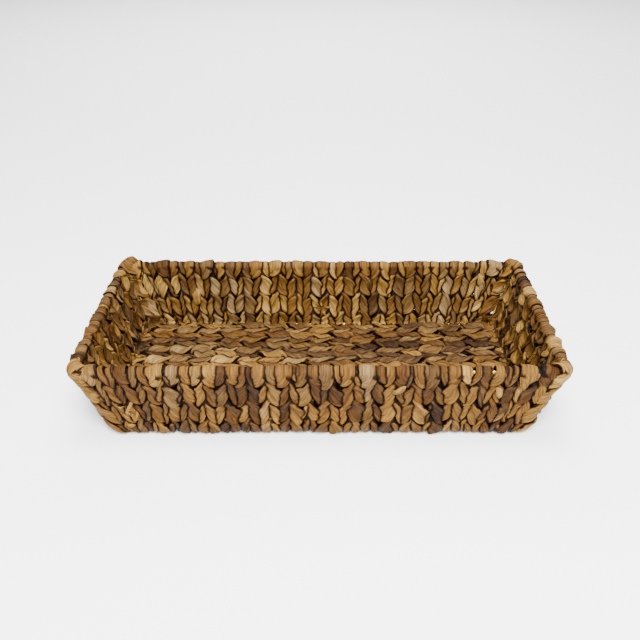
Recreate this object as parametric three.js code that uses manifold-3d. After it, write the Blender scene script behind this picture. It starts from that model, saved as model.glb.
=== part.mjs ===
// Bread basket: a low rectangular tray with flared walls, twined from water
// hyacinth over a frame of steel wires.
//
// Millimetres, +Z up, +X along the length, front towards -Y. The origin is the
// middle of the underside, on the surface that the basket stands on.
//
// The wires are whole. The weave is split the way its rows run: pairs of rows
// along the base and up both ends, and bands of four rows down the two long
// walls, with a piece of weave turning each corner.

import * as THREE from "three";
import { mergeVertices } from "three/addons/utils/BufferGeometryUtils.js";
import Module from "manifold-3d";

const wasm = await Module();
wasm.setup();

// Outside of the basket.
const LENGTH = 400;
const WIDTH = 200;
const HEIGHT = 72;
const BASE_LENGTH = 360;
const BASE_WIDTH = 180;

// Weave.
const WALL = 9;
const BASE = 9;
const ROLL_RADIUS = 5.75;
const BOTTOM_EDGE_RADIUS = 7;
const FLOOR_FILLET = 3;
const RIM_CORNER_RADIUS = 7;
const BASE_CORNER_RADIUS = 22;

// Rows of twining, counted over the whole basket.
const LONG_WALL_ROWS = 46;
const BASE_ROWS = 18;
const ROWS_IN_WALL_BAND = 4;
const ROWS_IN_BASE_STRIP = 2;
const CORNER_WALL_ROWS = 5;
const CORNER_BASE_ROWS = 2;

// Wires.
const RIM_WIRE_RADIUS = 1.4;
const RING_WIRE_RADIUS = 1.1;
const UPRIGHT_RADIUS = 1;
const CROSS_WIRES = 15;
const CROSS_WIRE_PITCH = 21.85;
const CROSS_WIRE_HEIGHT = 4;
const BASE_RING_HEIGHT = 6.7;
const BASE_RING_INSET = 2.5;
const UPRIGHT_INSET = 2.4;

// Fits and fineness.
const GAP = 0.3;
const CORNER_STEPS = 4;
const ROLL_STEPS = 8;
const EDGE_STEPS = 2;
const WIRE_SIDES = 8;
const TUNNEL_SIDES = 4;
const FAR = 300;

// Worked out from the sizes above.
const RIM_WIRE_HEIGHT = HEIGHT - ROLL_RADIUS;
const WALL_WIRE_STEP = (RIM_WIRE_HEIGHT - BASE_RING_HEIGHT) / 3;
const LOWER_WIRE_HEIGHT = BASE_RING_HEIGHT + WALL_WIRE_STEP;
const UPPER_WIRE_HEIGHT = LOWER_WIRE_HEIGHT + WALL_WIRE_STEP;
const LONG_ROW_PITCH = LENGTH / LONG_WALL_ROWS;
const FLOOR_EDGE = BASE_WIDTH / 2 - WALL;
const BASE_ROW_PITCH = (2 * FLOOR_EDGE) / BASE_ROWS;
const BAND_WIDTH = ROWS_IN_WALL_BAND * LONG_ROW_PITCH;
const BANDS = (LONG_WALL_ROWS - 2 * CORNER_WALL_ROWS) / ROWS_IN_WALL_BAND;
const CORNER_START_X = LENGTH / 2 - CORNER_WALL_ROWS * LONG_ROW_PITCH;
const STRIP_WIDTH = ROWS_IN_BASE_STRIP * BASE_ROW_PITCH;
const STRIPS = (BASE_ROWS - 2 * CORNER_BASE_ROWS) / ROWS_IN_BASE_STRIP;
const CORNER_START_Y = FLOOR_EDGE - CORNER_BASE_ROWS * BASE_ROW_PITCH;

const weaveMaterial = new THREE.MeshStandardMaterial({ color: 0x9c6c38, roughness: 0.7, metalness: 0 });
const wireMaterial = new THREE.MeshStandardMaterial({ color: 0xc8962e, roughness: 0.4, metalness: 0.8 });

// ---- The plan outline ----------------------------------------------------

// Half sizes and corner radius of the middle of the wall at a height.
function wallMiddle(height) {
  const rise = Math.min(height / RIM_WIRE_HEIGHT, 1);
  return {
    x: THREE.MathUtils.lerp((BASE_LENGTH - WALL) / 2, LENGTH / 2 - ROLL_RADIUS, rise),
    y: THREE.MathUtils.lerp((BASE_WIDTH - WALL) / 2, WIDTH / 2 - ROLL_RADIUS, rise),
    corner: THREE.MathUtils.lerp(BASE_CORNER_RADIUS, RIM_CORNER_RADIUS, rise),
  };
}

// A rounded rectangle around the basket, counter-clockwise seen from above.
// `out` is how far it stands outside the middle of the wall.
function outline({ out, height }) {
  const middle = wallMiddle(height);
  const radius = middle.corner + out;
  const points = [];
  for (let quarter = 0; quarter < 4; quarter++) {
    const signX = quarter === 0 || quarter === 3 ? 1 : -1;
    const signY = quarter < 2 ? 1 : -1;
    for (let step = 0; step <= CORNER_STEPS; step++) {
      const angle = (quarter + step / CORNER_STEPS) * (Math.PI / 2);
      const x = signX * (middle.x - middle.corner) + radius * Math.cos(angle);
      const y = signY * (middle.y - middle.corner) + radius * Math.sin(angle);
      points.push(new THREE.Vector3(x, y, height));
    }
  }
  return points;
}

// Sweeps a profile of { out, height } points around the basket. An open
// profile is closed by a flat face inside its first and its last outline.
function sweptAround(profile, closed) {
  const loops = profile.map(outline);
  const around = loops[0].length;
  const index = [];
  const rings = closed ? profile.length : profile.length - 1;
  for (let ring = 0; ring < rings; ring++) {
    const low = ring * around;
    const high = ((ring + 1) % profile.length) * around;
    for (let i = 0; i < around; i++) {
      const next = (i + 1) % around;
      index.push(low + i, low + next, high + next);
      index.push(low + i, high + next, high + i);
    }
  }
  if (!closed) {
    const last = rings * around;
    for (let i = 1; i < around - 1; i++) {
      index.push(0, i + 1, i);
      index.push(last, last + i, last + i + 1);
    }
  }
  const geometry = new THREE.BufferGeometry().setFromPoints(loops.flat());
  geometry.setIndex(index);
  return geometry;
}

// Points on an arc in the { out, height } plane.
function arc(centre, radius, from, to, steps) {
  const points = [];
  for (let step = 0; step <= steps; step++) {
    const angle = THREE.MathUtils.lerp(from, to, step / steps);
    points.push({
      out: centre.out + radius * Math.cos(angle),
      height: centre.height + radius * Math.sin(angle),
    });
  }
  return points;
}

// ---- Joining and cutting -------------------------------------------------

function toSolid(geometry) {
  const bare = geometry.clone();
  bare.deleteAttribute("normal");
  bare.deleteAttribute("uv");
  const merged = mergeVertices(bare, 1e-4);
  return new wasm.Manifold(
    new wasm.Mesh({
      numProp: 3,
      vertProperties: merged.attributes.position.array,
      triVerts: new Uint32Array(merged.index.array),
    }),
  );
}

function toGeometry(solid) {
  const mesh = solid.getMesh();
  const geometry = new THREE.BufferGeometry();
  geometry.setAttribute("position", new THREE.BufferAttribute(mesh.vertProperties, mesh.numProp));
  geometry.setIndex(new THREE.BufferAttribute(mesh.triVerts, 1));
  geometry.computeVertexNormals();
  return geometry;
}

// A block of space, taller than the basket, with half the gap left off each side.
function region(minX, maxX, minY, maxY) {
  const geometry = new THREE.BoxGeometry(maxX - minX - GAP, maxY - minY - GAP, FAR);
  geometry.translate((minX + maxX) / 2, (minY + maxY) / 2, 0);
  return toSolid(geometry);
}

// ---- Wires ---------------------------------------------------------------

// A tunnel's flat sides stand clear of the wire inside it.
function tunnelRadius(wireRadius) {
  return (wireRadius + GAP) / Math.cos(Math.PI / TUNNEL_SIDES);
}

// A wire that runs right round the basket.
function ringWire(height, out, radius, sides) {
  const circle = arc({ out, height }, radius, 0, 2 * Math.PI, sides).slice(0, -1);
  return sweptAround(circle, true);
}

// A straight wire between two points.
function straightWire(start, end, radius, sides) {
  const along = end.clone().sub(start);
  const geometry = new THREE.CylinderGeometry(radius, radius, along.length(), sides);
  const up = new THREE.Vector3(0, 1, 0);
  const turn = new THREE.Quaternion().setFromUnitVectors(up, along.normalize());
  geometry.applyQuaternion(turn);
  geometry.translate((start.x + end.x) / 2, (start.y + end.y) / 2, (start.z + end.z) / 2);
  return geometry;
}

// Where an upright stands on the inside of the ring wires: `across` is the
// place along a wall, and no `across` means the corner.
function uprightPoint(height, sideX, sideY, across) {
  const middle = wallMiddle(height);
  if (across !== undefined && sideX === 0) {
    return new THREE.Vector3(across, sideY * (middle.y - UPRIGHT_INSET), height);
  }
  if (across !== undefined) {
    return new THREE.Vector3(sideX * (middle.x - UPRIGHT_INSET), across, height);
  }
  const reach = (middle.corner - UPRIGHT_INSET) * Math.SQRT1_2;
  const x = middle.x - middle.corner + reach;
  const y = middle.y - middle.corner + reach;
  return new THREE.Vector3(sideX * x, sideY * y, height);
}

// Every wire as its name, its shape, and the wider shape of its tunnel.
function ringWires() {
  const rings = [
    ["rim_wire", RIM_WIRE_HEIGHT, 0, RIM_WIRE_RADIUS],
    ["upper_wall_wire", UPPER_WIRE_HEIGHT, 0, RING_WIRE_RADIUS],
    ["lower_wall_wire", LOWER_WIRE_HEIGHT, 0, RING_WIRE_RADIUS],
    ["base_ring_wire", BASE_RING_HEIGHT, -BASE_RING_INSET, RING_WIRE_RADIUS],
  ];
  return rings.map(([name, height, out, radius]) => ({
    name,
    wire: ringWire(height, out, radius, WIRE_SIDES),
    tunnel: ringWire(height, out, tunnelRadius(radius), TUNNEL_SIDES),
  }));
}

function straightWireWithTunnel(name, start, end, radius) {
  const beyond = end.clone().sub(start).normalize().multiplyScalar(GAP);
  const wideStart = start.clone().sub(beyond);
  const wideEnd = end.clone().add(beyond);
  return {
    name,
    wire: straightWire(start, end, radius, WIRE_SIDES),
    tunnel: straightWire(wideStart, wideEnd, tunnelRadius(radius), TUNNEL_SIDES),
  };
}

// Wires across the underside of the frame, each end under the base ring.
function crossWires() {
  const reach = wallMiddle(BASE_RING_HEIGHT).y - BASE_RING_INSET + RING_WIRE_RADIUS;
  const wires = [];
  for (let i = 0; i < CROSS_WIRES; i++) {
    const x = (i - (CROSS_WIRES - 1) / 2) * CROSS_WIRE_PITCH;
    const name = "base_cross_wire_" + String(i + 1).padStart(2, "0");
    const start = new THREE.Vector3(x, -reach, CROSS_WIRE_HEIGHT);
    const end = new THREE.Vector3(x, reach, CROSS_WIRE_HEIGHT);
    wires.push(straightWireWithTunnel(name, start, end, RING_WIRE_RADIUS));
  }
  return wires;
}

// Uprights from the base ring to the rim wire.
function uprights() {
  const alongWall = 2 * BAND_WIDTH;
  const places = [
    ["corner_upright_front_left", -1, -1],
    ["corner_upright_front_right", 1, -1],
    ["corner_upright_back_left", -1, 1],
    ["corner_upright_back_right", 1, 1],
    ["front_upright_left", 0, -1, -alongWall],
    ["front_upright_right", 0, -1, alongWall],
    ["back_upright_left", 0, 1, -alongWall],
    ["back_upright_right", 0, 1, alongWall],
    ["left_end_upright", -1, 0, 0],
    ["right_end_upright", 1, 0, 0],
  ];
  const bottom = BASE_RING_HEIGHT + RING_WIRE_RADIUS + GAP;
  const top = RIM_WIRE_HEIGHT - RIM_WIRE_RADIUS - GAP;
  return places.map(([name, sideX, sideY, across]) => {
    const start = uprightPoint(bottom, sideX, sideY, across);
    const end = uprightPoint(top, sideX, sideY, across);
    return straightWireWithTunnel(name, start, end, UPRIGHT_RADIUS);
  });
}

// ---- Weave ---------------------------------------------------------------

// The whole weave as one body: rounded bottom edge, sloping wall, rolled rim,
// inner wall and flat floor.
function wholeWeave() {
  const half = WALL / 2;
  const rollMeetsWall = Math.asin(half / ROLL_RADIUS) - Math.PI / 2;
  const bottomEdge = { out: half - BOTTOM_EDGE_RADIUS, height: BOTTOM_EDGE_RADIUS };
  const roll = { out: 0, height: RIM_WIRE_HEIGHT };
  const fillet = { out: -half - FLOOR_FILLET, height: BASE + FLOOR_FILLET };
  const profile = [
    ...arc(bottomEdge, BOTTOM_EDGE_RADIUS, -Math.PI / 2, 0, EDGE_STEPS),
    ...arc(roll, ROLL_RADIUS, rollMeetsWall, Math.PI - rollMeetsWall, ROLL_STEPS),
    ...arc(fillet, FLOOR_FILLET, 0, -Math.PI / 2, EDGE_STEPS),
  ];
  return toSolid(sweptAround(profile, false));
}

// The block of space that each piece of weave fills, by name.
function weaveRegions() {
  const regions = [];
  const add = (name, ...limits) => regions.push({ name, space: region(...limits) });
  for (let i = 0; i < STRIPS; i++) {
    const y = -CORNER_START_Y + i * STRIP_WIDTH;
    add("base_and_end_weave_" + (i + 1), -FAR, FAR, y, y + STRIP_WIDTH);
  }
  for (const [side, sign] of [["front", -1], ["back", 1]]) {
    const floorLimits = [sign * CORNER_START_Y, sign * FLOOR_EDGE].sort((a, b) => a - b);
    const wallLimits = [sign * FLOOR_EDGE, sign * FAR].sort((a, b) => a - b);
    const cornerLimits = [sign * CORNER_START_Y, sign * FAR].sort((a, b) => a - b);
    add("base_edge_weave_" + side, -CORNER_START_X, CORNER_START_X, ...floorLimits);
    for (let i = 0; i < BANDS; i++) {
      const x = -CORNER_START_X + i * BAND_WIDTH;
      add(side + "_weave_" + (i + 1), x, x + BAND_WIDTH, ...wallLimits);
    }
    add("corner_weave_" + side + "_left", -FAR, -CORNER_START_X, ...cornerLimits);
    add("corner_weave_" + side + "_right", CORNER_START_X, FAR, ...cornerLimits);
  }
  return regions;
}

// ---- Assembly ------------------------------------------------------------

function namedMesh(name, geometry, material) {
  const mesh = new THREE.Mesh(geometry, material);
  mesh.name = name;
  return mesh;
}

const basket = new THREE.Group();
const frame = new THREE.Group();
const weave = new THREE.Group();
basket.add(frame, weave);

const wires = [...ringWires(), ...crossWires(), ...uprights()];
for (const { name, wire } of wires) frame.add(namedMesh(name, wire, wireMaterial));

const solidWeave = wholeWeave();
const tunnels = wires.map(({ tunnel }) => toSolid(tunnel)).reduce((all, one) => all.add(one));
const openWeave = solidWeave.subtract(tunnels);
for (const { name, space } of weaveRegions()) {
  const piece = openWeave.intersect(space);
  weave.add(namedMesh(name, toGeometry(piece), weaveMaterial));
}

export default basket;
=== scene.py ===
import math

import bpy
import numpy as np
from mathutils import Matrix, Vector


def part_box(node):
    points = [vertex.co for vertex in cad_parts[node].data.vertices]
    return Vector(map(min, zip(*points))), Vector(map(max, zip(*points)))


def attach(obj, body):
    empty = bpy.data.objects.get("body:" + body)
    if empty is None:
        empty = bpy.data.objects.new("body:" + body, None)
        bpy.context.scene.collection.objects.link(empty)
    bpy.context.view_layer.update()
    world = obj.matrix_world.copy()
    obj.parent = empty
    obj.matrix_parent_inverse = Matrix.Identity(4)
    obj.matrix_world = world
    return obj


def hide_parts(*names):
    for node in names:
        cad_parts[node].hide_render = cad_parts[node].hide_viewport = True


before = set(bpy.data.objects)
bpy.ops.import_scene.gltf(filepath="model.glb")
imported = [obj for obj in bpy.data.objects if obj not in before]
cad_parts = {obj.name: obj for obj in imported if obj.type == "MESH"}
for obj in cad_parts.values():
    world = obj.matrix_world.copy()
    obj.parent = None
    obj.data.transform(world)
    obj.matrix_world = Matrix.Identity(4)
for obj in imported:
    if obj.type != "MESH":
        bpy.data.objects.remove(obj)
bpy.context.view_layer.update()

# Bread basket of twined water hyacinth on a golden wire frame.
#
# Metres, +Z up, +X along the length, front towards -Y. The wires are the CAD
# nodes. Each row of weave is a pair of flat stalks twisted round each other,
# half a turn from each wire that they cross to the next. Neighbouring rows
# twist opposite ways, which makes the V shapes. The stretch of a stalk that
# shows on one face, between two plunges, is called a leaf here, and the wire
# that it covers gives its level, counted from the rim.

MM = 0.001
SEED = 663

# Rows.
LONG_WALL_ROWS = 46
BASE_ROWS = 18
RIM_CORNER_RADIUS = 7 * MM
BASE_CORNER_RADIUS = 22 * MM
BASE_MIDDLE = 4.7 * MM  # height of the middle of the base weave
BEND = 15 * MM  # length of the bend between wall and base
TAIL = 6 * MM  # end of a wall's row, tucked in under the base ring
UPRIGHT_SHARE = 0.45  # rows within this share of a wall's half length stand upright
LEAN_POWER = 1.6  # how late the lean of the others grows towards the corner
CORNER_WEDGE = 11 * MM  # gap that the leaning rows leave at the foot of a corner

# The row down each corner.
CORNER_WIDTH = 14 * MM
CORNER_LIFT = 3 * MM  # height over the wall's middle at which its bend is taken
CORNER_RAISED = 1.8 * MM  # how far its leaves stand out
CORNER_FLATTER_INSIDE = 0.9  # share of that which the inner leaves lack
CORNER_NARROWER_INSIDE = 0.15

# Stalks. Shares are of the row's width.
LEAF_SHARE = 1.28
LEAST_LEAF = 5.5 * MM
MOST_LEAF = 16 * MM
LEAF_THICKNESS = 4.0 * MM
LIFT = 2.4 * MM  # from the row's middle to the stalk's middle, on top of a leaf
RIM_LIFT = 3.5 * MM
RIM_REACH = 10 * MM  # length over which the lift falls from RIM_LIFT to LIFT
SIDEWAYS = 0.33  # share that a stalk stands aside where it plunges
CREST_SHIFT = 0.08  # share that it stands aside on top of a leaf
SNAP = 0.12  # 0 for an even twist, more for one that lies longer on the faces
EDGE_ON_WIDTH = 7.2 * MM  # where it plunges, a stalk is as wide as the mean of this
EDGE_ON_SHARE = 0.75  # and of this share of the leaf's width
EDGE_ON_SWELL = 1.15  # and thicker than a leaf by this share
NARROWING_POWER = 0.8  # less to keep a leaf's full width closer to its tips
WIDTH_WOBBLE = 0.05
WOBBLE_STEPS = 5  # points of a row from one wave to the next
END_TAPER = 4 * MM  # length over which the end of a stalk narrows
LEAST_END = 0.02
SECTION_POWER = 0.75  # 1 for an oval section, less for a boxier one
CREASE_WIDTH = 0.1  # as a share of half the leaf's width
PRESSED_BELOW = 0.9 * MM  # the weave is flattened under this height
PRESSED_ROOM = 1.1 * MM  # and takes up at most this much room there

# Leaves. Jitters of edges are shares of the row's width, those of plunges half turns.
EDGE_JITTER = 0.3
RIM_JITTER = 0.38
PLUNGE_JITTER = 0.19
WIDE_RAISED = 1.1  # millimetres for a leaf of twice the row's width
RAISED_RANGE = (-0.5, 0.6)  # millimetres
ROLL_RANGE = (-0.2, 0.2)  # radians
THICKNESS_RANGE = (0.85, 1.15)  # shares of LEAF_THICKNESS
RELIEF_RANGE = (-0.32, 0.32)  # millimetres
CREASE_PLACE_RANGE = (-0.6, 0.6)  # -1 and 1 are the leaf's edges
CREASE_RANGE = (-0.5, 0.8)  # millimetres, with no crease below 0
STALK_TINT = 0.35  # how much of the tint all leaves of a stalk share
STALK_HUE = 0.5
# painted sheen: the leaves over the rim are made paler
RIM_PAINTED_SHEEN = 0.06
# painted light: inside faces of the long walls are made paler and greyer, to make up for the shade
# inside the basket and the colour of the light bounced there
INSIDE_PAINTED_LIGHT = 0.25
INSIDE_PAINTED_GREY = 0.16
# painted light: the base and end rows are made paler and greyer, to even out how they are lit
BASE_PAINTED_LIGHT = 0.05
BASE_PAINTED_GREY = 0.16
BASE_RIDGES = 1.9  # how much deeper the relief of the base rows is

# Rows whose leaf over the rim stands aside, so that the wire shows.
PARTED_CAPS = [("front", 37), ("front", 39)]
PARTED_SHIFT = 0.3
PARTED_WIDTH = 0.75

# Loose ends of stalk on the walls: wall, face (1 outside, -1 inside), place along
# the wall, height, heading in degrees from straight up, length, width, tint.
LOOSE_ENDS = [
    ("front", 1, 56 * MM, 45 * MM, 42, 17 * MM, 5.0 * MM, 1.0),
    ("front", 1, 141 * MM, 58 * MM, 172, 13 * MM, 5.0 * MM, 1.0),
    ("front", 1, 147 * MM, 42 * MM, 165, 13 * MM, 5.5 * MM, 0.1),
    ("front", 1, -160 * MM, 13 * MM, 80, 9 * MM, 4.0 * MM, 0.9),
    ("back", -1, 48 * MM, 58 * MM, 170, 15 * MM, 5.0 * MM, 0.15),
    ("back", -1, 160 * MM, 62 * MM, 190, 14 * MM, 5.0 * MM, 1.0),
    ("back", -1, -124 * MM, 48 * MM, 176, 20 * MM, 8.0 * MM, 0.9),
]
LOOSE_THICKNESS = 0.6  # as a share of a leaf's
END_ROOT = 1.5 * MM  # how far from the wall's middle a loose end starts
END_LIFT = 6.0 * MM  # and how far from it the rest lies
END_RISE = 1.8  # how soon it gets there
END_SHADOW = 0.9  # how dark its root is
SHADOW_FADE = 3  # how soon that fades along it

# Frayed spots: wall, face, place along the wall, height.
FRAYED_SPOTS = [
    ("front", 1, -158 * MM, 32 * MM),
    ("back", -1, 2 * MM, 24 * MM),
]
FIBRES = 9
LEAST_FIBRE = (5 * MM, 1.2 * MM)  # length and width
MOST_FIBRE = (10 * MM, 2.4 * MM)
FIBRE_TINTS = (0.3, 1.1)
FIBRE_THICKNESS = 0.25

# Fineness.
SAMPLE = 1.0 * MM  # step along a row
WALL_STEPS = 60
TAIL_STEPS = 12
FLOOR_STEPS = 200
FOLD_STEPS = 12
LEAST_END_STEPS = 8
SEEN_SIDES = 18
HIDDEN_SIDES = 6
RELIEF_KNOTS = 9
HALF_ROUND = math.pi * (RIM_LIFT + LEAF_THICKNESS / 2)  # way over the rim

# Map of the seams and hollows, where shade is painted into the colour.
MAP_CELL = 0.55 * MM
SEAM_WIDTH = 0.6 * MM
SEAM_FULL = 0.38  # blurred seam that counts as fully dark
HOLLOW_WIDTH = 1.0 * MM
HOLLOW_DEPTH = 1.5 * MM  # depth under the leaves around that counts as fully dark

GRAIN_SPREAD = 90  # stalks take their grain from different places in the noise

# Camera and lights: name, place, target, size and power of each.
CAMERA_PLACE = (0, -0.609, 0.411)
CAMERA_TILT = math.radians(60)
CAMERA_LENS = 44.3
LIGHTS = [
    ("overhead", (0, 0, 1.3), (0, 0, 0), 0.8, 32),
    ("backdrop", (0, 1.7, 1.3), (0, 1.9, 0), 1.6, 60),
    ("front", (0.1, -0.95, 1.2), (0, 0, 0), 0.7, 95),
]
SKY = 0.5
FLOOR_SIZE = 6
FLOOR_BELOW = 0.3 * MM

rng = np.random.default_rng(SEED)


# ---- The basket's surface, from the frame --------------------------------

def ring_wire(node):
    """Half sizes and height of the middle of a wire that runs round the basket."""
    low, high = (np.array(corner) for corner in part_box(node))
    radius = (high[2] - low[2]) / 2
    return {"x": high[0] - radius, "y": high[1] - radius, "z": low[2] + radius}


def middle_x(node):
    low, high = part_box(node)
    return (low[0] + high[0]) / 2


RIM = ring_wire("rim_wire")
LOWER = ring_wire("lower_wall_wire")
WALL_HEIGHTS = [ring_wire(name)["z"] for name in (
    "rim_wire", "upper_wall_wire", "lower_wall_wire", "base_ring_wire")]
CROSS_WIRES = sorted(middle_x(name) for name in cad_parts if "cross_wire" in name)

# For each wall: the axis along it, the axis out of it, and its way out.
WALLS = {"front": (0, 1, -1), "back": (0, 1, 1), "left": (1, 0, -1), "right": (1, 0, 1)}


def wall_slope(axis):
    key = "xy"[axis]
    return (RIM[key] - LOWER[key]) / (RIM["z"] - LOWER["z"])


def half_size(axis, z):
    """Distance of the middle of the wall from the centre at height z."""
    return RIM["xy"[axis]] - wall_slope(axis) * (RIM["z"] - z)


def corner_radius(z):
    return BASE_CORNER_RADIUS + (RIM_CORNER_RADIUS - BASE_CORNER_RADIUS) * z / RIM["z"]


def half_wall(wall, z):
    """Length at height z from the middle of a wall to the middle of its corner."""
    radius = corner_radius(z)
    return half_size(WALLS[wall][0], z) - radius + radius * math.pi / 4


def on_wall(wall, along, z):
    """Points on the middle of a wall, the outward directions there, and half the
    wall's curvature across its rows."""
    along_axis, out_axis, way = WALLS[wall]
    radius = corner_radius(z)
    straight = half_size(along_axis, z) - radius
    turn = np.clip((np.abs(along) - straight) / radius, 0, math.pi / 2)
    reach = np.minimum(np.abs(along), straight) + radius * np.sin(turn)
    points = np.zeros((len(z), 3))
    points[:, along_axis] = np.sign(along) * reach
    points[:, out_axis] = way * (half_size(out_axis, z) - radius * (1 - np.cos(turn)))
    points[:, 2] = z
    outward = np.zeros((len(z), 3))
    outward[:, along_axis] = np.sign(along) * np.sin(turn)
    outward[:, out_axis] = way * np.cos(turn)
    outward[:, 2] = -wall_slope(out_axis)
    return points, unit(outward), np.where(turn > 0, 0.5 / (radius + CORNER_LIFT), 0)


# ---- Lines ---------------------------------------------------------------

def unit(vectors):
    return vectors / np.maximum(np.linalg.norm(vectors, axis=-1, keepdims=True), 1e-12)


def lengths(points):
    return np.concatenate([[0], np.cumsum(np.linalg.norm(np.diff(points, axis=0), axis=1))])


def smooth_step(x):
    x = np.clip(x, 0, 1)
    return x * x * (3 - 2 * x)


def even_steps(columns, s, count):
    """The columns at even steps of the length s."""
    even = np.linspace(0, s[-1], count)
    return np.stack([np.interp(even, s, column) for column in columns.T], axis=1)


def rounded(line):
    """Rounds the bends of an evenly stepped line."""
    half = int(BEND / SAMPLE / 2)
    kernel = np.hanning(2 * half + 3)[1:-1]
    kernel /= kernel.sum()
    padded = np.pad(line, ((half, half), (0, 0)), mode="reflect", reflect_type="odd")
    return np.stack([np.convolve(column, kernel, "valid") for column in padded.T], axis=1)


def make_row(points, outward, across, pitch, bow, wires, sense):
    """A row's middle line and directions, its place across the weave, its width, and
    its twist in half turns, which is a whole number at each wire. `sense` turns the
    side direction so that it points to where the place across the weave grows."""
    s = lengths(points)
    columns = np.column_stack([points, outward, across, pitch, bow])
    line = rounded(even_steps(columns, s, int(round(s[-1] / SAMPLE)) + 1))
    middle = line[:, :3]
    along = unit(np.gradient(middle, axis=0))
    out = unit(line[:, 3:6])
    out = unit(out - along * np.sum(out * along, axis=1, keepdims=True))
    s = lengths(middle)
    at = np.array([s[np.argmin(np.linalg.norm(middle - wire, axis=1))] for wire in wires])
    beyond = np.maximum(s - at[-1], 0) / (at[-1] - at[-2])
    turns = np.interp(s, at, np.arange(len(at))) + beyond
    knots = rng.uniform(-PLUNGE_JITTER, PLUNGE_JITTER, len(at) + 1)
    early = np.interp(turns, np.arange(len(knots)) + 0.5, knots) * np.abs(np.sin(math.pi * turns))
    return {
        "middle": middle,
        "along": along,
        "out": out,
        "side": sense * np.cross(out, along),
        "sense": sense,
        "across": line[:, 6],
        "pitch": line[:, 7],
        "bow": line[:, 8],
        "down": s,
        "turns": turns + early,
        "levels": len(at),
    }


def wall_place(wall, share, z):
    """Place along a long wall of a row that starts at a share of the rim's half length.
    Rows lean inwards on their way down, the more the nearer they are to a corner."""
    rim_half = half_wall(wall, RIM["z"])
    beyond = max(abs(share) - UPRIGHT_SHARE, 0) / (1 - UPRIGHT_SHARE)
    drop = (RIM["z"] - z) / RIM["z"]
    shift = (rim_half - half_wall(wall, z) + CORNER_WEDGE * drop) * beyond ** LEAN_POWER
    return math.copysign(1, share) * (abs(share) * rim_half - shift)


def wall_line(wall, along, pitch, z):
    """A row down a wall, from the rim wire to just under the base ring."""
    down, outward, bow = on_wall(wall, along, z)
    inward = -unit(outward[-1] * (1, 1, 0))
    tail = down[-1] + inward * np.linspace(TAIL / TAIL_STEPS, TAIL, TAIL_STEPS)[:, None]
    points = np.concatenate([down, tail])
    outward = np.concatenate([outward, np.tile((0.0, 0.0, -1.0), (TAIL_STEPS, 1))])
    wires = [down[np.argmin(abs(z - height))] for height in WALL_HEIGHTS]
    across = np.append(along, np.full(TAIL_STEPS, along[-1]))
    pitch = np.append(pitch, np.full(TAIL_STEPS, pitch[-1]))
    bow = np.append(bow, np.zeros(TAIL_STEPS))
    return make_row(points, outward, across, pitch, bow, wires, -WALLS[wall][2])


def wall_row(wall, share):
    """A row of a long wall. `share` is its place at the rim, from -1 to 1."""
    z = np.linspace(RIM["z"], BASE_MIDDLE, WALL_STEPS)
    half_step = 1 / LONG_WALL_ROWS
    pitch = wall_place(wall, share + half_step, z) - wall_place(wall, share - half_step, z)
    return wall_line(wall, wall_place(wall, share, z), pitch, z)


def corner_row(wall, side):
    """The row down a corner, which fills the wedge between the walls' rows."""
    z = np.linspace(RIM["z"], BASE_MIDDLE, WALL_STEPS)
    drop = (RIM["z"] - z) / RIM["z"]
    half = half_wall(wall, z)
    pitch = np.full(len(z), CORNER_WIDTH)
    return wall_line(wall, side * (half - CORNER_WEDGE / 2 * drop), pitch, z)


def base_row(share):
    """A row from the left rim down to the base, along it and up to the right rim.
    `share` is its place across the base, from -1 to 1."""
    z = np.linspace(RIM["z"], BASE_MIDDLE, WALL_STEPS)
    half = half_wall("left", z)
    left, left_out, bow = on_wall("left", share * half, z)
    mirror = np.array((-1, 1, 1))
    floor = np.linspace(left[-1], left[-1] * mirror, FLOOR_STEPS + 2)[1:-1]
    points = np.concatenate([left, floor, left[::-1] * mirror])
    floor_out = np.tile((0.0, 0.0, -1.0), (len(floor), 1))
    outward = np.concatenate([left_out, floor_out, left_out[::-1] * mirror])
    halves = np.concatenate([half, np.full(len(floor), half[-1]), half[::-1]])
    bows = np.concatenate([bow, np.zeros(len(floor)), bow[::-1]])
    wires = [left[np.argmin(abs(z - height))] for height in WALL_HEIGHTS]
    crossed = [np.array((x, left[-1, 1], BASE_MIDDLE)) for x in CROSS_WIRES]
    all_wires = wires + crossed + [wire * mirror for wire in reversed(wires)]
    return make_row(
        points, outward, share * halves, 2 / BASE_ROWS * halves, bows, all_wires, -1)


# ---- Stalks --------------------------------------------------------------

def strand(row, hand, phase, both_rims):
    """One stalk of a row's pair, from the row's start to its end."""
    steady = math.pi * (row["turns"] + phase)
    angle = steady - SNAP * np.sin(2 * steady)
    s = row["down"]
    from_rim = np.minimum(s, s[-1] - s) if both_rims else s
    lift = LIFT + (RIM_LIFT - LIFT) * smooth_step(1 - from_rim / RIM_REACH)
    out_part = lift * np.cos(angle)
    hand = hand * row["sense"]
    sway = SIDEWAYS * np.sin(angle) + CREST_SHIFT * np.cos(angle)
    side_part = row["pitch"] * hand * sway
    return {
        "centre": row["middle"] + row["out"] * out_part[:, None] + row["side"] * side_part[:, None],
        "facing": row["out"] * np.cos(angle)[:, None]
        + row["side"] * (hand * np.sin(angle))[:, None],
        "open": np.abs(np.cos(angle)),
        "middle": row["middle"],
        "along": row["along"],
        "out": row["out"],
        "side": row["side"],
        "across": row["across"],
        "pitch": row["pitch"],
        "bend": row["out"] * row["bow"][:, None],
        "place_out": s,
        "place_in": 2 * s[-1] + HALF_ROUND - s,
        "leaf": row["turns"],
    }


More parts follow.
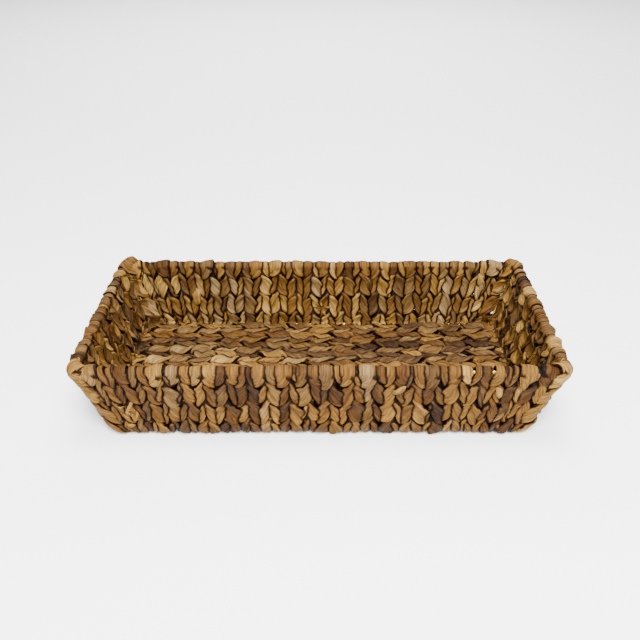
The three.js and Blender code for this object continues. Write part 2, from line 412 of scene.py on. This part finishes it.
def rim_fold(row, index, outside_first):
    """The half circle of a stalk over the rim wire."""
    up = -row["along"][0] if index == 0 else row["along"][-1]
    angle = np.linspace(0, math.pi, FOLD_STEPS + 2)[1:-1]
    angle = angle if outside_first else angle[::-1]
    facing = np.outer(np.cos(angle), row["out"][index]) + np.outer(np.sin(angle), up)
    middle = np.tile(row["middle"][index], (FOLD_STEPS, 1))
    beyond = HALF_ROUND * angle / math.pi
    place = row["down"][-1] + beyond if index else -beyond
    return {
        "centre": middle + facing * RIM_LIFT,
        "facing": facing,
        "open": np.ones(FOLD_STEPS),
        "middle": middle,
        "along": np.zeros((FOLD_STEPS, 3)),
        "out": facing,
        "side": np.tile(row["side"][index], (FOLD_STEPS, 1)),
        "across": np.full(FOLD_STEPS, row["across"][index]),
        "pitch": np.full(FOLD_STEPS, row["pitch"][index]),
        "bend": np.tile(row["out"][index] * row["bow"][index], (FOLD_STEPS, 1)),
        "place_out": place,
        "place_in": place,
        "leaf": np.full(FOLD_STEPS, row["turns"][index]),
    }


def joined(parts):
    return {key: np.concatenate([part[key] for part in parts]) for key in parts[0]}


def backwards(part):
    return {key: values[::-1] for key, values in part.items()}


def wall_path(row, hand):
    """A stalk folded over the rim wire, whose two halves twist down the wall."""
    inner = backwards(strand(row, hand, 1, False))
    inner["leaf"] = -inner["leaf"]
    path = joined([inner, rim_fold(row, 0, False), strand(row, hand, 0, False)])
    path["leaf"] = path["leaf"] + row["levels"]
    return path


def base_path(row, hand):
    """A stalk that goes right round its row and meets itself at the left rim."""
    last = row["turns"][-1]
    ends_outside = round(last) % 2 == 0
    back = backwards(strand(row, hand, 1, True))
    back["leaf"] = 2 * last - back["leaf"]
    left_fold = rim_fold(row, 0, False)
    left_fold["leaf"] = left_fold["leaf"] + 2 * last
    return joined([strand(row, hand, 0, True), rim_fold(row, -1, ends_outside), back, left_fold])


def wall_order(levels):
    """Face, 0 outside or 1 inside, and level of each leaf along a wall's stalk."""
    order = []
    for k in range(-levels, levels + 1):
        level = min(abs(k), levels - 1)
        outside = level == 0 or (level % 2 == 0) == (k > 0)
        order.append((0 if outside else 1, level))
    return order


def base_order(levels):
    """Face and level of each leaf along a base row's stalk, out and back."""
    last = levels - 1
    order = []
    for k in range(2 * last + 1):
        level = k if k <= last else 2 * last - k
        outside = level in (0, last) or (level % 2 == 0) == (k < last)
        order.append((0 if outside else 1, level))
    return order


def leaf_cells(rows, levels, rims):
    """Each leaf's shift and width as shares of its row, by face, level and row.
    Neighbours share an edge, so a wide leaf has narrow ones beside it."""
    edges = rng.uniform(-EDGE_JITTER, EDGE_JITTER, (2, levels, rows + 1))
    for level in rims:
        edges[:, level] *= RIM_JITTER / EDGE_JITTER
    return (edges[..., 1:] + edges[..., :-1]) / 2, 1 + edges[..., 1:] - edges[..., :-1]


def draw_leaves(order, cells, index, loop):
    """The random features of each leaf along a stalk."""
    def draw(low, high, *shape):
        values = rng.uniform(low, high, (len(order), *shape))
        if loop:
            values[-1] = values[0]
        return values

    shift, width = (
        np.array([table[face, level, index] for face, level in order]) for table in cells)
    levels = np.array([level for face, level in order])
    return {
        "shift": shift,
        "width": width,
        "raised": (WIDE_RAISED * (width - 1) + draw(*RAISED_RANGE)) * MM,
        "roll": draw(*ROLL_RANGE),
        "thick": draw(*THICKNESS_RANGE),
        "relief": draw(*RELIEF_RANGE, RELIEF_KNOTS) * MM,
        "crease_at": draw(*CREASE_PLACE_RANGE),
        "crease": np.maximum(draw(*CREASE_RANGE), 0) * MM,
        # the leaves over the rim get a painted sheen
        "tint": STALK_TINT * rng.uniform() + (1 - STALK_TINT) * draw(0, 1)
        + RIM_PAINTED_SHEEN * (levels == 0),
        "hue": STALK_HUE * rng.uniform() + (1 - STALK_HUE) * draw(0, 1),
    }


def spread(values, place):
    """Values held over each leaf, which change where the stalk plunges."""
    index = np.clip(np.floor(place).astype(int), 0, len(values) - 2)
    mix = smooth_step((place - index) * 2 - 0.5)
    mix = mix.reshape(mix.shape + (1,) * (values.ndim - 1))
    return values[index] * (1 - mix) + values[index + 1] * mix


def wobble(count, every, loop):
    """Slow random waves between -1 and 1 along a stalk."""
    knots = rng.uniform(-1, 1, max(count // every, 3) + 1)
    if loop:
        knots[-1] = knots[0]
    place = np.linspace(0, len(knots) - 1, count)
    index = np.minimum(place.astype(int), len(knots) - 2)
    mix = smooth_step(place - index)
    return knots[index] * (1 - mix) + knots[index + 1] * mix


def section():
    """Points round a stalk: place across it, height, and which are on the side seen."""
    seen = np.linspace(0, math.pi, SEEN_SIDES + 1)
    hidden = np.linspace(math.pi, 2 * math.pi, HIDDEN_SIDES + 1)[1:-1]
    theta = np.concatenate([seen, hidden])
    height = np.sign(np.sin(theta)) * np.abs(np.sin(theta)) ** SECTION_POWER
    return np.cos(theta), height, theta <= math.pi + 1e-6


def pressed_flat(points):
    """Flattens the stalks against the surface that the basket stands on."""
    below = np.maximum(PRESSED_BELOW - points[..., 2], 0)
    points[..., 2] += below - PRESSED_ROOM * np.tanh(below / PRESSED_ROOM)
    return points


def stalk_mesh(path, leaves, loop, least=LEAST_LEAF):
    """Sweeps a creased, flattened section along a stalk, and gives each point what its
    colour and its place on the seam map need."""
    leaf = {key: spread(values, path["leaf"]) for key, values in leaves.items()}
    count = len(path["leaf"])
    centre = path["centre"] + path["side"] * (leaf["shift"] * path["pitch"])[:, None]
    along = np.gradient(centre, axis=0)
    if loop:
        along = np.roll(centre, -1, axis=0) - np.roll(centre, 1, axis=0)
    along = unit(along)
    thin = unit(path["facing"] - along * np.sum(path["facing"] * along, axis=1, keepdims=True))
    wide = np.cross(along, thin)
    roll = leaf["roll"] * path["open"]
    thin, wide = (thin * np.cos(roll)[:, None] + wide * np.sin(roll)[:, None],
                  wide * np.cos(roll)[:, None] - thin * np.sin(roll)[:, None])
    centre = centre + thin * (leaf["raised"] * path["open"])[:, None]

    full = np.clip(path["pitch"] * leaf["width"] * LEAF_SHARE, least, MOST_LEAF)
    full = full * (1 + WIDTH_WOBBLE * wobble(count, WOBBLE_STEPS, loop))
    edge_on = (EDGE_ON_WIDTH + EDGE_ON_SHARE * full) / 2
    end = np.ones(count)
    if not loop:
        s = lengths(centre)
        end = np.sqrt(np.clip(np.minimum(s, s[-1] - s) / END_TAPER, LEAST_END, 1))
    half_wide = (edge_on + (full - edge_on) * path["open"] ** NARROWING_POWER) / 2 * end
    swell = 1 + EDGE_ON_SWELL * (1 - path["open"])
    half_thin = LEAF_THICKNESS / 2 * leaf["thick"] * swell * end

    across, height, seen = section()
    knots = np.linspace(-1, 1, RELIEF_KNOTS)
    to_points = np.stack([np.interp(across, knots, one) for one in np.eye(RELIEF_KNOTS)])
    relief = leaf["relief"] @ to_points * (1 - across ** 4)
    from_crease = (across - leaf["crease_at"][:, None]) / CREASE_WIDTH
    crease = leaf["crease"][:, None] * np.exp(-from_crease ** 2)
    rise = half_thin[:, None] * height + (relief - crease) * end[:, None] * seen
    reach = half_wide[:, None] * across
    points = pressed_flat(centre[:, None]
                          + wide[:, None] * reach[:, :, None]
                          + thin[:, None] * rise[:, :, None]
                          - path["bend"][:, None] * reach[:, :, None] ** 2)

    offset = points - path["middle"][:, None]
    out_part = np.sum(offset * path["out"][:, None], axis=-1)
    along_part = np.sum(offset * path["along"][:, None], axis=-1)
    side_part = np.sum(offset * path["side"][:, None], axis=-1)
    grain = np.stack(np.broadcast_arrays(
        reach / MM + rng.uniform(0, GRAIN_SPREAD),
        rise / MM + rng.uniform(0, GRAIN_SPREAD),
        lengths(centre)[:, None] / MM), axis=-1)
    return {
        "points": points,
        "grain": grain,
        "tint": np.broadcast_to(leaf["tint"][:, None], out_part.shape),
        "hue": np.broadcast_to(leaf["hue"][:, None], out_part.shape),
        "height": np.abs(out_part),
        "across": path["across"][:, None] + side_part,
        "place": np.where(out_part >= 0, path["place_out"][:, None] + along_part,
                          path["place_in"][:, None] - along_part),
        "round": 2 * (path["place_out"].max() + HALF_ROUND),
        "loop": loop,
    }


# ---- Painted shade in the seams and hollows ------------------------------
#
# The weave's surface is unrolled on a map, across the rows and round the wall,
# to find which stalk is on top where, and how high it stands. From that, shade is
# painted into the colour of the seams between stalks, where it also stands for
# staining, and of the hollows under the leaves around.

def blurred(grid, width):
    """The grid with each cell spread over the cells around it."""
    reach = int(3 * width / MAP_CELL)
    offsets = range(-reach, reach + 1)
    weights = np.exp([-0.5 * (k * MAP_CELL / width) ** 2 for k in offsets])
    for axis in (0, 1):
        grid = sum(w * np.roll(grid, k, axis) for k, w in zip(offsets, weights / weights.sum()))
    return grid


def sampled(grid, i, j):
    """Values of a grid between its cells. The grid closes on itself along j."""
    i0, j0 = np.floor(i - 0.5).astype(int), np.floor(j - 0.5).astype(int)
    fi, fj = i - 0.5 - i0, j - 0.5 - j0
    rows = [np.clip(i0 + k, 0, grid.shape[0] - 1) for k in (0, 1)]
    columns = [(j0 + k) % grid.shape[1] for k in (0, 1)]
    low = grid[rows[0], columns[0]] * (1 - fj) + grid[rows[0], columns[1]] * fj
    high = grid[rows[1], columns[0]] * (1 - fj) + grid[rows[1], columns[1]] * fj
    return low * (1 - fi) + high * fi


def halved(grid, axis, period=None):
    """Puts a value half way between each two along an axis."""
    step = np.diff(grid, axis=axis)
    if period:
        step -= period * np.round(step / period)
    first = np.take(grid, range(grid.shape[axis] - 1), axis)
    last = np.take(grid, [-1], axis)
    both = np.stack([first, first + step / 2], axis=axis + 1)
    shape = list(first.shape)
    shape[axis] *= 2
    return np.concatenate([both.reshape(shape), last], axis=axis)


def finer(grid, period=None):
    """The side of a stalk that is seen, at twice as many points each way."""
    seen = grid[:, :SEEN_SIDES + 1]
    return halved(halved(seen, 0, period), 1, period).ravel()


def mark_seams(tubes):
    """Finds how much shade is painted on each point, from 0 on top of a leaf to 1 in a seam or a
    hollow.
    """
    nominal = np.median([t["round"] for t in tubes])
    lowest = min(t["across"].min() for t in tubes)
    highest = max(t["across"].max() for t in tubes)
    shape = int((highest - lowest) / MAP_CELL) + 3, int(nominal / MAP_CELL) + 1
    top = np.zeros(shape[0] * shape[1], dtype=np.int64)
    for number, t in enumerate(tubes):
        i = ((finer(t["across"]) - lowest) / MAP_CELL + 1).astype(int)
        place = finer(t["place"], t["round"]) / t["round"] * nominal
        j = np.floor(place / MAP_CELL).astype(int) % shape[1]
        value = (finer(t["height"]) / (MM * MM)).astype(np.int64) * len(tubes) + number
        np.maximum.at(top, i * shape[1] + j, value)
    top = top.reshape(shape)
    for axis in (0, 1):
        top = np.maximum(top, np.roll(top, 1, axis))
    owner = top % len(tubes)
    level = top // len(tubes) * MM * MM
    change = (owner != np.roll(owner, -1, 0)) | (owner != np.roll(owner, -1, 1))
    seam = blurred(change * 1.0, SEAM_WIDTH)
    known = blurred((top > 0) * 1.0, HOLLOW_WIDTH)
    level = blurred(level, HOLLOW_WIDTH) / np.maximum(known, 1e-3)
    for t in tubes:
        i = (t["across"] - lowest) / MAP_CELL + 1
        j = t["place"] / t["round"] * nominal / MAP_CELL
        hollow = (sampled(level, i, j) - t["height"]) / HOLLOW_DEPTH
        near_seam = sampled(seam, i, j) / SEAM_FULL
        # painted shade: dark in the seams between stalks, which also stands for staining, and in
        # the hollows under the leaves around
        t["dark"] = 1 - (1 - smooth_step(hollow)) * (1 - smooth_step(near_seam))


# ---- Loose ends ----------------------------------------------------------

def loose_end(wall, face, place, height, heading, length, width, tint, thick=LOOSE_THICKNESS):
    """A cut end of stalk that comes out of a wall's face and lies along it."""
    steps = np.linspace(0, 1, max(int(length / SAMPLE), LEAST_END_STEPS))
    turn = math.radians(heading)
    middle, outward, _ = on_wall(
        wall, place + math.sin(turn) * length * steps, height + math.cos(turn) * length * steps)
    out = outward * face
    lift = END_ROOT + (END_LIFT - END_ROOT) * smooth_step(END_RISE * steps)
    centre = middle + out * lift[:, None]
    along = unit(np.gradient(centre, axis=0))
    same = np.ones(len(steps))
    path = {
        "centre": centre,
        "facing": out,
        "open": same,
        "middle": middle,
        "along": along,
        "out": out,
        "side": unit(np.cross(out, along)),
        "across": 0 * same,
        "pitch": same * width / LEAF_SHARE,
        "bend": 0 * out,
        "place_out": 0 * same,
        "place_in": 0 * same,
        "leaf": steps,
    }
    plain_cells = np.zeros((1, 2, 1)), np.ones((1, 2, 1))
    leaves = draw_leaves([(0, 1), (0, 1)], plain_cells, 0, False)
    leaves["tint"][:] = tint
    leaves["thick"][:] = thick
    for key in ("raised", "relief", "crease"):
        leaves[key] = leaves[key] * thick
    tube = stalk_mesh(path, leaves, False, least=width)
    shadow = END_SHADOW * (1 - smooth_step(SHADOW_FADE * steps))
    tube["dark"] = np.broadcast_to(shadow[:, None], tube["height"].shape)
    return tube


def loose_ends(wall):
    """The loose ends and the frayed fibres of one wall."""
    tubes = [loose_end(*end) for end in LOOSE_ENDS if end[0] == wall]
    for spot in FRAYED_SPOTS:
        if spot[0] != wall:
            continue
        for _ in range(FIBRES):
            heading = rng.uniform(0, 360)
            length, width = rng.uniform(LEAST_FIBRE, MOST_FIBRE)
            tint = rng.uniform(*FIBRE_TINTS)
            tubes.append(loose_end(*spot, heading, length, width, tint, FIBRE_THICKNESS))
    return tubes


# ---- Pieces --------------------------------------------------------------

def tube_faces(count, around, loop):
    """Faces round rings of points, closed into a loop or with an end on each side."""
    ring = np.arange(count if loop else count - 1)[:, None]
    side = np.arange(around)[None, :]
    after_ring, after_side = (ring + 1) % count, (side + 1) % around
    quads = np.stack(np.broadcast_arrays(
        ring * around + side, ring * around + after_side,
        after_ring * around + after_side, after_ring * around + side), axis=-1).reshape(-1, 4)
    caps = []
    if not loop:
        caps = [np.arange(around)[::-1], (count - 1) * around + np.arange(around)]
    return quads, caps


def make_piece(name, tubes, material):
    """One mesh object from the tubes, which rides with the frame."""
    mesh = bpy.data.meshes.new(name)
    faces = []
    start = 0
    for t in tubes:
        quads, caps = tube_faces(*t["points"].shape[:2], t["loop"])
        faces += (quads + start).tolist()
        faces += [(cap + start).tolist() for cap in caps]
        start += t["points"].shape[0] * t["points"].shape[1]
    points = np.concatenate([t["points"].reshape(-1, 3) for t in tubes])
    mesh.from_pydata(points.tolist(), [], faces)
    grain = np.concatenate([t["grain"].reshape(-1, 3) for t in tubes])
    look = np.concatenate([
        np.stack([t["tint"], t["dark"], t["hue"]], axis=-1).reshape(-1, 3) for t in tubes])
    for key, values in (("grain", grain), ("look", look)):
        layer = mesh.attributes.new(key, "FLOAT_VECTOR", "POINT")
        layer.data.foreach_set("vector", values.ravel())
    mesh.shade_smooth()
    mesh.materials.append(material)
    piece = bpy.data.objects.new(name, mesh)
    bpy.context.scene.collection.objects.link(piece)
    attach(piece, "root")
    return piece


# ---- Materials -----------------------------------------------------------

def new_material(name):
    material = bpy.data.materials.new(name)
    material.use_nodes = True
    nodes, links = material.node_tree.nodes, material.node_tree.links
    return material, nodes, links, nodes["Principled BSDF"]


def noise(nodes, links, vector, scale, detail, roughness):
    node = nodes.new("ShaderNodeTexNoise")
    node.inputs["Scale"].default_value = scale
    node.inputs["Detail"].default_value = detail
    node.inputs["Roughness"].default_value = roughness
    links.new(vector, node.inputs["Vector"])
    return node.outputs["Fac"]


def stretched(nodes, links, vector, scale):
    node = nodes.new("ShaderNodeMapping")
    node.inputs["Scale"].default_value = scale
    links.new(vector, node.inputs["Vector"])
    return node.outputs["Vector"]


def math_node(nodes, links, operation, a, b=None, clamp=False):
    node = nodes.new("ShaderNodeMath")
    node.operation = operation
    node.use_clamp = clamp
    for socket, value in zip(node.inputs, (a, b)):
        if value is None:
            continue
        if isinstance(value, (int, float)):
            socket.default_value = value
        else:
            links.new(value, socket)
    return node.outputs[0]


def ranged(nodes, links, value, low, high, to_low, to_high):
    node = nodes.new("ShaderNodeMapRange")
    node.interpolation_type = "SMOOTHSTEP"
    limits = {"From Min": low, "From Max": high, "To Min": to_low, "To Max": to_high}
    for key, number in limits.items():
        node.inputs[key].default_value = number
    links.new(value, node.inputs["Value"])
    return node.outputs["Result"]


def mixed(nodes, links, kind, factor, a, b):
    node = nodes.new("ShaderNodeMix")
    node.data_type = "RGBA"
    node.blend_type = kind
    for socket, value in ((node.inputs[0], factor), (node.inputs[6], a), (node.inputs[7], b)):
        if isinstance(value, (int, float, tuple)):
            socket.default_value = value
        else:
            links.new(value, socket)
    return node.outputs[2]


def ramp(nodes, links, value, stops):
    node = nodes.new("ShaderNodeValToRGB")
    elements = node.color_ramp.elements
    while len(elements) < len(stops):
        elements.new(0.5)
    for element, (position, colour) in zip(elements, stops):
        element.position = position
        element.color = (*colour, 1)
    links.new(value, node.inputs["Fac"])
    return node.outputs["Color"]


def hyacinth_material():
    """Dried water hyacinth: golden tan to brown, with fine fibres along each stalk,
    and near black painted shade in the seams and hollows between stalks, which in the seams also
    stands for staining."""
    material, nodes, links, shader = new_material("water_hyacinth")
    grain_node = nodes.new("ShaderNodeAttribute")
    grain_node.attribute_name = "grain"
    grain = grain_node.outputs["Vector"]
    look = nodes.new("ShaderNodeAttribute")
    look.attribute_name = "look"
    parts = nodes.new("ShaderNodeSeparateXYZ")
    links.new(look.outputs["Vector"], parts.inputs[0])
    tint, dark, hue = parts.outputs

    fibre = noise(nodes, links, stretched(nodes, links, grain, (1, 1, 0.06)), 1.3, 4, 0.65)
    streak = noise(nodes, links, stretched(nodes, links, grain, (1, 1, 0.09)), 0.35, 2, 0.5)
    blotch = noise(nodes, links, stretched(nodes, links, grain, (1, 1, 0.5)), 0.12, 3, 0.6)

    tone = math_node(nodes, links, "ADD", tint, math_node(nodes, links, "MULTIPLY", blotch, 0.6))
    tone = math_node(nodes, links, "SUBTRACT", tone, 0.36, clamp=True)
    golden = ramp(nodes, links, tone, [
        (0.0, (0.026, 0.011, 0.0025)),
        (0.25, (0.055, 0.024, 0.005)),
        (0.5, (0.096, 0.046, 0.0085)),
        (0.75, (0.14, 0.073, 0.014)),
        (1.0, (0.22, 0.13, 0.033)),
    ])
    greyer = mixed(nodes, links, "MULTIPLY", 1.0, golden, (0.68, 0.73, 1.15, 1))
    redder = mixed(nodes, links, "MULTIPLY", 1.0, golden, (0.8, 0.66, 0.6, 1))
    grey_share = ranged(nodes, links, hue, 0.55, 0.85, 0.0, 1.0)
    red_share = ranged(nodes, links, hue, 0.4, 0.15, 0.0, 0.5)
    colour = mixed(nodes, links, "MIX", grey_share, golden, greyer)
    colour = mixed(nodes, links, "MIX", red_share, colour, redder)
    dark_lines = ranged(nodes, links, fibre, 0.34, 0.6, 0.35, 1.15)
    streaks = ranged(nodes, links, streak, 0.3, 0.7, 0.75, 1.2)
    # painted shade: the seams and hollows between stalks darkened to near black, the seams partly
    # standing for staining
    painted_crevice_shade = ranged(nodes, links, dark, 0.0, 1.0, 1.0, 0.03)
    shade = math_node(nodes, links, "MULTIPLY", dark_lines, streaks)
    shade = math_node(nodes, links, "MULTIPLY", shade, painted_crevice_shade)
    # the shade, painted shade included, darkens red least and blue most, so it turns reddish brown
    combine = nodes.new("ShaderNodeCombineColor")
    for socket, power in zip(combine.inputs, (0.9, 1.1, 1.3)):
        links.new(math_node(nodes, links, "POWER", shade, power), socket)
    colour = mixed(nodes, links, "MULTIPLY", 1.0, colour, combine.outputs[0])
    links.new(colour, shader.inputs["Base Color"])
    links.new(ranged(nodes, links, fibre, 0.3, 0.7, 0.7, 0.48), shader.inputs["Roughness"])
    shader.inputs["Specular IOR Level"].default_value = 0.06

    bump = nodes.new("ShaderNodeBump")
    bump.inputs["Strength"].default_value = 0.5
    bump.inputs["Distance"].default_value = 0.35 * MM
    links.new(math_node(nodes, links, "ADD", fibre, streak), bump.inputs["Height"])
    links.new(bump.outputs["Normal"], shader.inputs["Normal"])
    return material


def wire_material():
    """Golden yellow lacquer on steel wire, a little worn."""
    material, nodes, links, shader = new_material("golden_wire")
    place = nodes.new("ShaderNodeTexCoord").outputs["Object"]
    wear = noise(nodes, links, place, 180, 4, 0.6)
    colour = ramp(nodes, links, wear, [
        (0.3, (0.42, 0.24, 0.05)), (0.5, (0.72, 0.47, 0.08)), (0.75, (0.85, 0.62, 0.16))])
    links.new(colour, shader.inputs["Base Color"])
    links.new(ranged(nodes, links, wear, 0.3, 0.7, 0.5, 0.28), shader.inputs["Roughness"])
    shader.inputs["Metallic"].default_value = 0.75
    bump = nodes.new("ShaderNodeBump")
    bump.inputs["Strength"].default_value = 0.2
    bump.inputs["Distance"].default_value = 0.1 * MM
    links.new(wear, bump.inputs["Height"])
    links.new(bump.outputs["Normal"], shader.inputs["Normal"])
    return material


def floor_material():
    """Nearly white and matt, with a little light of its own."""
    material, nodes, links, shader = new_material("pale_floor")
    place = nodes.new("ShaderNodeTexCoord").outputs["Object"]
    grain = noise(nodes, links, place, 3, 2, 0.5)
    links.new(ramp(nodes, links, grain, [(0.0, (0.88, 0.88, 0.88)), (1.0, (0.92, 0.92, 0.92))]),
              shader.inputs["Base Color"])
    shader.inputs["Roughness"].default_value = 0.9
    shader.inputs["Emission Color"].default_value = (1, 1, 1, 1)
    shader.inputs["Emission Strength"].default_value = 0.3
    return material


# ---- Building the basket -------------------------------------------------

def weave_wall(wall, material):
    """All rows of a long wall, as two pieces of alternate V columns."""
    tubes = []
    cells = leaf_cells(LONG_WALL_ROWS, len(WALL_HEIGHTS), (0,))
    for i in range(LONG_WALL_ROWS):
        row = wall_row(wall, (2 * i + 1) / LONG_WALL_ROWS - 1)
        order = wall_order(row["levels"])
        leaves = draw_leaves(order, cells, i, False)
        inside = np.array([face for face, level in order])
        # painted light: the inside faces are made paler and greyer to make up for the shade and
        # bounced light inside
        leaves["tint"] += INSIDE_PAINTED_LIGHT * inside
        leaves["hue"] += INSIDE_PAINTED_GREY * inside
        if (wall, i) in PARTED_CAPS:
            caps = [level == 0 for face, level in order]
            leaves["shift"][caps] += PARTED_SHIFT
            leaves["width"][caps] *= PARTED_WIDTH
        tubes.append(stalk_mesh(wall_path(row, 1 if i % 2 == 0 else -1), leaves, False))
    mark_seams(tubes)
    loose = loose_ends(wall)
    for key, first in (("odd", 1), ("even", 2)):
        columns = [t for i, t in enumerate(tubes) if (i // 2) % 2 == first - 1]
        columns += loose[first - 1::2]
        piece = make_piece(f"{wall}_wall_weave_{key}", columns, material)
        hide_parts(*[f"{wall}_weave_{n}" for n in range(first, 10, 2)])


def weave_corner(wall, side):
    """The row down one corner, whose top leaf wraps the rim there."""
    row = corner_row(wall, side)
    order = wall_order(row["levels"])
    cells = leaf_cells(1, row["levels"], ())
    leaves = draw_leaves(order, cells, 0, False)
    inside = np.array([face for face, level in order])
    leaves["raised"] += CORNER_RAISED * (1 - CORNER_FLATTER_INSIDE * inside)
    leaves["width"] *= 1 - CORNER_NARROWER_INSIDE * inside
    return stalk_mesh(wall_path(row, -side), leaves, False)


def weave_base(material):
    """The rows along the base and up both ends, two rows to a piece. The outermost
    pieces have the corner rows too."""
    tubes = []
    cells = None
    for i in range(BASE_ROWS):
        row = base_row((2 * i + 1) / BASE_ROWS - 1)
        if cells is None:
            cells = leaf_cells(BASE_ROWS, row["levels"], (0, row["levels"] - 1))
        leaves = draw_leaves(base_order(row["levels"]), cells, i, True)
        # painted light: the base and end rows are made paler and greyer to even out how they are
        # lit
        leaves["tint"] += BASE_PAINTED_LIGHT
        leaves["hue"] += BASE_PAINTED_GREY
        leaves["relief"] *= BASE_RIDGES
        tubes.append(stalk_mesh(base_path(row, 1 if i % 2 == 0 else -1), leaves, True))
    mark_seams(tubes)
    for pair in range(BASE_ROWS // 2):
        rows = tubes[2 * pair:2 * pair + 2]
        name = f"base_and_end_rows_{pair + 1}"
        if pair in (0, BASE_ROWS // 2 - 1):
            side = "front" if pair == 0 else "back"
            corners = [weave_corner(side, way) for way in (-1, 1)]
            mark_seams(corners)
            piece = make_piece(name, rows + corners, material)
            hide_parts(f"base_edge_weave_{side}",
                        f"corner_weave_{side}_left", f"corner_weave_{side}_right")
        else:
            piece = make_piece(name, rows, material)
            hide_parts(f"base_and_end_weave_{pair}")


def add_floor(material):
    bpy.ops.mesh.primitive_plane_add(size=FLOOR_SIZE, location=(0, 1, -FLOOR_BELOW))
    floor = bpy.context.object
    floor.name = "floor"
    floor.data.materials.append(material)


def add_camera():
    """Looks down at 30 degrees from the front, at the photograph's angle."""
    data = bpy.data.cameras.new("camera")
    data.sensor_width = 36
    data.lens = CAMERA_LENS
    camera = bpy.data.objects.new("camera", data)
    camera.location = CAMERA_PLACE
    camera.rotation_euler = (CAMERA_TILT, 0, 0)
    bpy.context.scene.collection.objects.link(camera)
    bpy.context.scene.camera = camera


def add_area_light(name, location, target, size, power):
    data = bpy.data.lights.new(name, "AREA")
    data.shape = "DISK"
    data.size = size
    data.energy = power
    light = bpy.data.objects.new(name, data)
    light.location = location
    aim = Vector(target) - Vector(location)
    light.rotation_euler = aim.to_track_quat("-Z", "Y").to_euler()
    bpy.context.scene.collection.objects.link(light)


def add_lights():
    world = bpy.data.worlds.new("studio")
    world.use_nodes = True
    background = world.node_tree.nodes["Background"]
    background.inputs["Color"].default_value = (1, 1, 1, 1)
    background.inputs["Strength"].default_value = SKY
    bpy.context.scene.world = world
    for light in LIGHTS:
        add_area_light(*light)


hyacinth = hyacinth_material()
golden = wire_material()
for node_name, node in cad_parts.items():
    if "wire" in node_name or "upright" in node_name:
        node.data.materials.clear()
        node.data.materials.append(golden)
        node.data.shade_smooth()

weave_wall("front", hyacinth)
weave_wall("back", hyacinth)
weave_base(hyacinth)
add_floor(floor_material())
add_lights()
add_camera()
